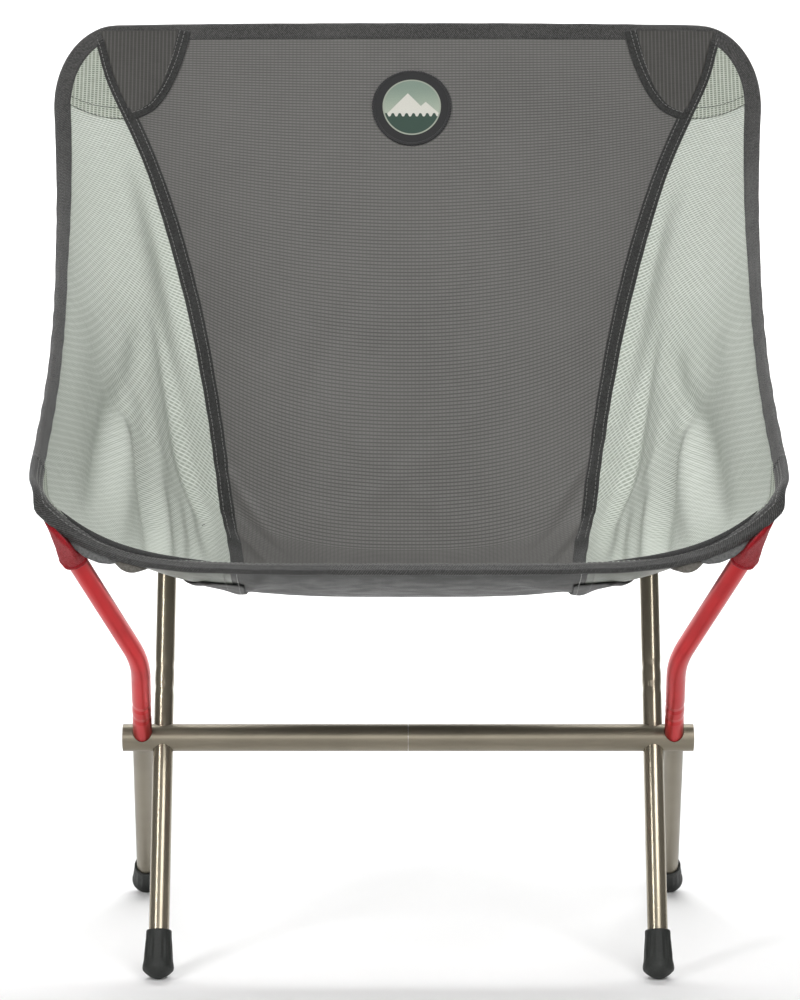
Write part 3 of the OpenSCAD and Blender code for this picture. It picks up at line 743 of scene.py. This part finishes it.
# ---------------------------------------------------------------- tapes over the seams
# the tape's half width, its stitch rows' distance from its edges and their lift, and where it starts
TAPE_HALF, ROW_IN, ROW_LIFT, TAPE_FROM = 5.4, 1.3, 1.34, 0.016
TAPE_SECTION = [(-5.4, -0.3), (-5.3, -1.0), (-4.6, -1.22), (0, -1.32), (4.6, -1.22), (5.3, -1.0), (5.4, -0.3)]


def seam_strip(name, s, face, half, v_end):
    """A tape along a seam, on the sitter's side where face is 1 and on the underside where it is -1.

    It comes with two stitch rows, which lie on the opposite face of the cloth."""
    v = np.linspace(TAPE_FROM, v_end, 700)
    u, v = even(s * u_seam(v), v, 3.0)
    w = inward(u, v, centre)
    section = [(d * half / TAPE_HALF, lift) for d, lift in TAPE_SECTION]
    rings = [sling(*move(u, v, w * d), lift * face) for d, lift in section]
    tape = strip(name, rings, along(base(u, v)), along(np.array(section)), TAPE)
    return tape, [row_beside(u, v, centre, d, ROW_LIFT * face) for d in (-half + ROW_IN, half - ROW_IN)]


for side, s in SIDES:
    tape, lines = seam_strip("seam_tape_front_" + side, s, 1, TAPE_HALF, 0.988)
    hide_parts("seam_tape_" + side)
    stitch_mesh("seam_stitching_outer_" + side, lines[:1], THREAD_MID, radius=0.3)
    stitch_mesh("seam_stitching_inner_" + side, lines[1:], THREAD_LIGHT, radius=0.3)
    _, lines = seam_strip("seam_tape_rear_" + side, s, -1, 4.4, 0.65)
    stitch_mesh("seam_stitching_rear_" + side, lines, THREAD_MID, radius=0.3)

# ---------------------------------------------------------------- coated underlay along the seams of the seat
UNDERLAY_TAPE = [(-3, 0.9), (-3, 1.9), (0, 2.4), (3, 1.9), (3, 0.9)]
for side, s in SIDES:
    v = np.linspace(0.64, 0.945, 60)
    outer = u_seam(v) + 0.155 * np.sin(math.pi * np.linspace(0.06, 0.94, 60)) ** 0.5
    u = between(u_seam(v) - 0.03, outer, np.linspace(0, 1, 14))
    # the underlay is in the darker coated cloth, as painted shade under the seat
    under = cloth_piece("seat_underlay_" + side, u, v, s, UNDERSIDE_SHADED, lift=1.3, thick=0.4)
    ribbon("seat_underlay_tape_" + side, outer * s, v, UNDERLAY_TAPE, centre, TAPE)

# ---------------------------------------------------------------- corner patches over the pole pockets
# the dark patch's free edge, from the top edge to the seam, as [u, v]
ARC = [(0.622, 0.008), (0.636, 0.034), (0.650, 0.056), (0.668, 0.078), (0.694, 0.104), (0.728, 0.128),
       (0.766, 0.141), (0.797, 0.147)]
ARC_TAPE = [(-3.8, -0.6), (-3.8, -1.9), (-3.0, -2.2), (3.0, -2.8), (5.4, -2.6), (5.8, -2.0), (5.4, -0.8)]
LIGHT_TOP, LIGHT_LOW = 0.020, 0.152


def smooth_path(points, n):
    """n points along a path of [u, v] points, with its bends softened."""
    pts = np.array(points, float)
    t = along(pts * [HALF_TOP, LENGTH])
    k = np.linspace(0, t[-1], n)
    u, v = (np.interp(k, t, pts[:, a]) for a in (0, 1))
    for _ in range(n // 7):
        u[1:-1] = (u[:-2] + 2 * u[1:-1] + u[2:]) / 4
        v[1:-1] = (v[:-2] + 2 * v[1:-1] + v[2:]) / 4
    return u, v


dark_patches, light_patches = [], []
for side, s in SIDES:
    # each row runs from the arc outwards to the seam at the same share of its height
    au, av = smooth_path(ARC, 60)
    sv = np.linspace(av[0], av[-1], 60)
    share = np.linspace(0, 1, 30)
    crown = np.sin(math.pi * share) ** 0.8 * np.sin(math.pi * np.linspace(0, 1, 60))[:, None] ** 0.6
    patch = patch_piece("corner_patch_dark_" + side, between(au, u_seam(sv) - 0.004, share),
                        between(av, sv, share), s, -1.5 - 3.2 * crown, DARK)
    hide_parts("dark_corner_patch_" + side)
    dark_patches.append(patch)

    arc = even(au * s, av, 2.0)
    towards = sling(0.74 * s, 0.04)
    ribbon("corner_patch_tape_" + side, *arc, ARC_TAPE, towards, TAPE)
    stitch_mesh("corner_patch_stitching_" + side, [row_beside(*arc, towards, d, lift) for d, lift in
                                                   ((4.4, -2.82), (1.0, -2.66))], THREAD_MID, radius=0.26)

    # the light patch lies between the seam and the side edge, and its lower edge hangs in a curve
    v = np.linspace(LIGHT_TOP, LIGHT_LOW, 40)
    inner, outer = u_seam(v) + 0.006, u_limit(v) - 0.03
    wide = outer > inner
    share = np.linspace(0, 1, 26)
    hang = (0.006 * np.sin(math.pi * share) - 0.010 * share ** 2) / LIGHT_LOW
    u, v = between(inner[wide], outer[wide], share), v[wide][:, None] * (1 + hang)
    # in the darker sage: painted shade for the double layer
    light = patch_piece("corner_patch_light_" + side, u, v, s, -0.65, SAGE_SHADED)
    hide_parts("light_corner_patch_" + side)
    light_patches.append(light)
    band = [row(*even(u[-back] * s, v[-back], 2.0), -1.1) for back in (1, 6)]
    stitch_mesh("corner_patch_light_stitching_" + side, band, THREAD_DARK, length=2.1, radius=0.3)

# ---------------------------------------------------------------- badge: a plain mountain patch
BADGE_U, BADGE_V, BADGE_R = 0.012, 0.113, 30.0


def badge_cloth():
    """A broad peak with a smaller one beside it, over a toothed dark foot, in a thin ring. In metres."""
    m = Mat("badge_cloth")
    x, y = m.uv()
    weave = m.math("MULTIPLY", m.wave(x, 0.0006), m.wave(y, 0.0006))
    r = m.math("SQRT", m.math("ADD", m.math("MULTIPLY", x, x), m.math("MULTIPLY", y, y)))

    def peak(top, at, steepness):
        away = m.math("ABSOLUTE", m.math("SUBTRACT", x, at))
        return m.math("SUBTRACT", top, m.math("MULTIPLY", away, steepness))

    ridge = m.math("MAXIMUM", peak(0.011, -0.003, 1.05), peak(0.004, 0.0105, 0.9))
    below_ridge = m.ramp(m.math("SUBTRACT", ridge, y), 0.0, 0.0005)
    teeth = m.math("MULTIPLY", m.wave(x, 0.0052), 0.0026)
    below_teeth = m.ramp(m.math("SUBTRACT", m.math("ADD", teeth, -0.0075), y), 0.0, 0.0005)
    field = m.mix(m.ramp(y, -0.01, 0.018), (0.46, 0.52, 0.42), (0.24, 0.32, 0.26))
    field = m.mix(below_ridge, field, (0.74, 0.73, 0.66))
    field = m.mix(below_teeth, field, (0.035, 0.075, 0.055))
    field = m.mix(m.ramp(r, 0.0208, 0.0212), field, (0.40, 0.44, 0.36))
    field = m.mix(m.ramp(r, 0.0218, 0.0222), field, (0.016, 0.016, 0.017))
    m.put("Base_Color", m.mix(m.math("MULTIPLY", weave, 0.35), field, (0.02, 0.02, 0.02)))
    m.put("Roughness", 0.7)
    m.put("Sheen_Weight", 0.2)
    m.put("Normal", m.bump(weave, 0.5, 0.0003))
    return m.mat


def on_badge(r, q, lift):
    """A point of the badge, which lies on the back: radius, angle and lift in millimetres."""
    su, sv = slopes(np.array(0.0), np.array(BADGE_V))
    u = BADGE_U + r * np.cos(q) / np.linalg.norm(su)
    return sling(u, BADGE_V - r * np.sin(q) / np.linalg.norm(sv), lift)


angles = np.linspace(0, 2 * math.pi, 97)[:-1]
rr, qq = np.meshgrid(np.linspace(0.05, BADGE_R - 1.0, 40), angles, indexing="ij")
disc = make("badge_field", on_badge(rr, qq, -1.7), grid_faces(40, 96, wrap=True), badge_cloth(),
            np.stack([rr * np.cos(qq), rr * np.sin(qq)], -1))
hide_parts("badge")
# the border's section as [distance in from the rim, lift], and its threads, four degrees apart
MERROW = [(2.4, -1.6), (1.9, -2.2), (1.1, -2.5), (0.4, -2.2), (0, -1.5), (0, -0.4)]
angles = np.linspace(0, 2 * math.pi, 361)[:-1]
threads = np.cos(angles * 90)
rings = [on_badge(BADGE_R - d + 0.14 * threads, angles, lift - 0.12 * threads) for d, lift in MERROW]
rings.append(rings[0])
make("badge_border", rings, grid_faces(len(rings), 360, wrap=True),
     thread("badge_thread", (0.018, 0.018, 0.019)))

# ---------------------------------------------------------------- where the tubes run, on the right side
HUB_Z = 155.0
FRONT_AT, REAR_AT = np.array([171.0, HUB_Y, HUB_Z]), np.array([185.5, HUB_Y, HUB_Z])
TILT = math.radians(24)
FRONT_WAY = np.array([0, math.sin(TILT), math.cos(TILT)])
LEAN, SPLAY = math.radians(52), math.radians(3.2)
REAR_WAY = np.array([-math.sin(SPLAY), -math.sin(LEAN) * math.cos(SPLAY), math.cos(LEAN) * math.cos(SPLAY)])
# each pair of legs: where its socket is on the hub, the way up along it, and its angle from upright
LEGS = (("front", FRONT_AT, FRONT_WAY, TILT), ("rear", REAR_AT, REAR_WAY, math.acos(REAR_WAY[2])))
BACK_BEND, BACK_TOP = FRONT_AT + 160 * FRONT_WAY, np.array([241, HUB_Y + 254, 629.0])
SEAT_BEND, SEAT_TOP = REAR_AT + 112 * REAR_WAY, np.array([211.5, HUB_Y - 203, 311.0])

# ---------------------------------------------------------------- pockets for the pole ends
SLEEVE = [(-1.4, 7.6, 7.6), (-2.2, 8.5, 8.5), (-2.4, 9.4, 9.2), (-1.2, 9.9, 9.6), (0.4, 9.8, 9.3),
          (1.2, 9.2, 8.8), (2.4, 9.7, 8.6), (6, 10.6, 7.8), (10, 11.6, 6.6), (14, 12.5, 5.2), (18, 13.3, 4.0),
          (22, 14.0, 3.0), (27, 14.6, 2.0), (32, 14.8, 1.2)]
POCKET = [(-52, 8.0, 7.6), (-52.6, 8.9, 8.3), (-51.4, 9.6, 8.7), (-49.5, 9.6, 8.6), (-48, 9.2, 8.2),
          (-40, 10.0, 8.0), (-28, 11.5, 7.9), (-14, 12.6, 7.8), (-4, 12.8, 7.4), (2, 12.0, 6.2),
          (6, 9.5, 4.0), (7.8, 5.0, 1.6)]


def tube_of_cloth(name, start, tip, sections, flat_way, mat, s, sink=0.0, slip=0.0):
    """A sewn sleeve round a pole end. Sections are [distance from the tip, half width, half depth].

    Past the tip it can sink under the cloth, and slip sideways, by that many millimetres."""
    axis = unit(tip - start)
    flat = unit(np.array(flat_way) - axis * np.dot(flat_way, axis))
    deep = np.cross(axis, flat)
    down = deep * (-1 if deep[2] > 0 else 1)
    ring = 48
    points, uv = [], []
    for t, a, b in sections:
        away = sink * min(max((t - 2) / 18, 0), 1) * down - slip * min(max(t / 24, 0), 1) * flat
        for i in range(ring):
            q = 2 * math.pi * i / ring
            wrinkle = 1 + 0.02 * math.sin(5 * q + t * 0.35) + 0.015 * math.sin(9 * q - t * 0.2)
            p = tip + axis * t + away + wrinkle * (a * math.cos(q) * flat + b * math.sin(q) * deep)
            points.append(p * [s, 1, 1])
            uv.append([q * a, t])
    end = tuple((len(sections) - 1) * ring + i for i in range(ring))
    faces = grid_faces(len(sections), ring, wrap=True, flip=s < 0) + [end if s > 0 else end[::-1]]
    return make(name, points, faces, mat, uv)


for side, s in SIDES:
    sleeve = tube_of_cloth("front_sleeve_" + side, SEAT_BEND, SEAT_TOP, SLEEVE, (0.62, 0, 0.78), RED_CLOTH,
                           s, sink=1.6, slip=1.0)
    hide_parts("seat_pole_sleeve_" + side)
    pocket = tube_of_cloth("rear_pocket_" + side, BACK_BEND, BACK_TOP, POCKET, (1, 0, 0), TAPE,
                           s)
    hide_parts("back_pole_pocket_" + side)

# ---------------------------------------------------------------- feet: fluted rubber caps
# [radius, height]: in the mouth, over the lip, down the side and round the domed end
FOOT = [(7.15, 3), (7.15, -0.0), (7.7, -0.5), (8.5, -0.2), (8.75, 0.6), (8.8, 2.2), (8.9, 5), (9.2, 8),
        (9.5, 12), (9.8, 16), (9.95, 19), (10.2, 21.5), (10.6, 23.4), (10.8, 25), (10.75, 26.2), (10.3, 27.6),
        (8.6, 29.3), (6.6, 30.8), (4.5, 32), (2.4, 32.8), (0.6, 33)]
# the points that can touch the floor on a tilted leg
FOOT_REACH = [(8.5, 0), (9.1, 6), (9.9, 18), (10.5, 23), (10.8, 25), (10.6, 27), (4.5, 32)]


def flutes(q, h):
    """Fourteen shallow grooves along the foot's side."""
    grow = min(max((h - 4) / 2.5, 0), 1) * min(max((21.5 - h) / 2, 0), 1)
    return 1 - 0.055 * grow * (0.5 - 0.5 * math.cos(14 * q)) ** 0.7


def mouth_at(angle):
    """How far down the leg the foot's mouth is, so that the foot touches the floor."""
    reach = max(h * math.cos(angle) + r * math.sin(angle) for r, h in FOOT_REACH)
    return (HUB_Z - reach) / math.cos(angle)


for side, s in SIDES:
    for place, at, way, angle in LEGS:
        mouth = at - way * mouth_at(angle)
        foot = lathe(place + "_rubber_foot_" + side, FOOT, mouth * [s, 1, 1], -way * [s, 1, 1], RUBBER,
                     place + "_" + side + "_leg", 112, flutes)
        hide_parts(place + "_foot_" + side)

# ---------------------------------------------------------------- shock cords
# each runs from inside its leg through the hub into the pole in line with it, with a knot at each end. A real
# cord stretches as the leg is pulled; this one rides on no body and keeps its length
CORD_R, KNOT_R, CORD_LOW, CORD_HIGH = 1.5, 3, -97, 79
LOW_KNOT = [(KNOT_R * math.sin(a), CORD_LOW + 2.8 - 2.8 * math.cos(a)) for a in (0.5, 1.0, 1.6, 2.2)]
HIGH_KNOT = [(KNOT_R * math.sin(a), CORD_HIGH - 3 - 3 * math.cos(a)) for a in (0.6, 1.1, 1.6, 2.1, 2.7)]
BETWEEN = [(CORD_R, h) for h in (-91.0, *np.arange(-88, 74, 4.0), 73.5)]
CORD_PROFILE = [(0.2, CORD_LOW), *LOW_KNOT, *BETWEEN, *HIGH_KNOT, (0.2, CORD_HIGH)]
for side, s in SIDES:
    for place, at, way, _ in LEGS:
        origin, way = at * [s, 1, 1], way * [s, 1, 1]
        cord = lathe(place + "_shock_cord_" + side, CORD_PROFILE, origin, way, CORD, None, 12)
        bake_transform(cord)
        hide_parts(place + "_cord_" + side)

# ---------------------------------------------------------------- floor and light
PALE = Mat("pale_floor", Roughness=0.9)
PALE.put("Base_Color", PALE.mix(PALE.ramp(PALE.noise(3.0), 0.3, 0.7), (0.90, 0.90, 0.90), (0.92, 0.92, 0.92)))
# a floor that curves up into a wall behind the chair: [distance back, height] in metres
SWEEP = [(-6.0, 0.0), (2.6, 0.0), (3.0, 0.05), (3.3, 0.2), (3.5, 0.5), (3.6, 1.0), (3.6, 5.0)]
mesh = bpy.data.meshes.new("studio_floor")
mesh.from_pydata([(x, y, z) for y, z in SWEEP for x in (-8, 8)], [], grid_faces(len(SWEEP), 2))
mesh.polygons.foreach_set("use_smooth", [True] * len(mesh.polygons))
mesh.materials.append(PALE.mat)
floor = bpy.data.objects.new("studio_floor", mesh)
bpy.context.scene.collection.objects.link(floor)

bpy.context.scene.view_settings.view_transform = "Standard"
# a grey sky that is brighter overhead
world = bpy.data.worlds.new("studio")
world.use_nodes = True
sky = world.node_tree
up = sky.nodes.new("ShaderNodeSeparateXYZ")
sky.links.new(sky.nodes.new("ShaderNodeTexCoord").outputs["Generated"], up.inputs[0])
shade = sky.nodes.new("ShaderNodeMapRange")
shade.inputs[1].default_value, shade.inputs[2].default_value = 0.0, 0.8
shade.inputs[3].default_value, shade.inputs[4].default_value = 0.22, 0.95
sky.links.new(up.outputs[2], shade.inputs[0])
sky.links.new(shade.outputs[0], sky.nodes["Background"].inputs[1])
bpy.context.scene.world = world


def lamp(name, size, power, at, to=(0, 0, 0.35)):
    """A soft box of that width and height, in metres and watts, that faces a point."""
    light = bpy.data.lights.new(name, "AREA")
    light.shape = "RECTANGLE"
    light.size, light.size_y = size
    light.energy = power
    obj = bpy.data.objects.new(name, light)
    obj.location = at
    obj.rotation_euler = (Vector(to) - Vector(at)).to_track_quat("-Z", "Y").to_euler()
    bpy.context.scene.collection.objects.link(obj)


lamp("key", (1.1, 0.9), 23, (0.75, -1.7, 1.7))
lamp("front", (1.6, 1.2), 26, (-0.3, -3.2, 1.0))
lamp("strip_left", (0.14, 1.8), 18, (-1.2, -1.3, 1.5))
lamp("backdrop", (4.0, 1.2), 130, (0, 1.6, 2.6), to=(0, 3.4, 0.6))
lamp("floor_wash", (3.0, 1.0), 30, (0, 1.2, 2.4), to=(0, 1.0, 0))
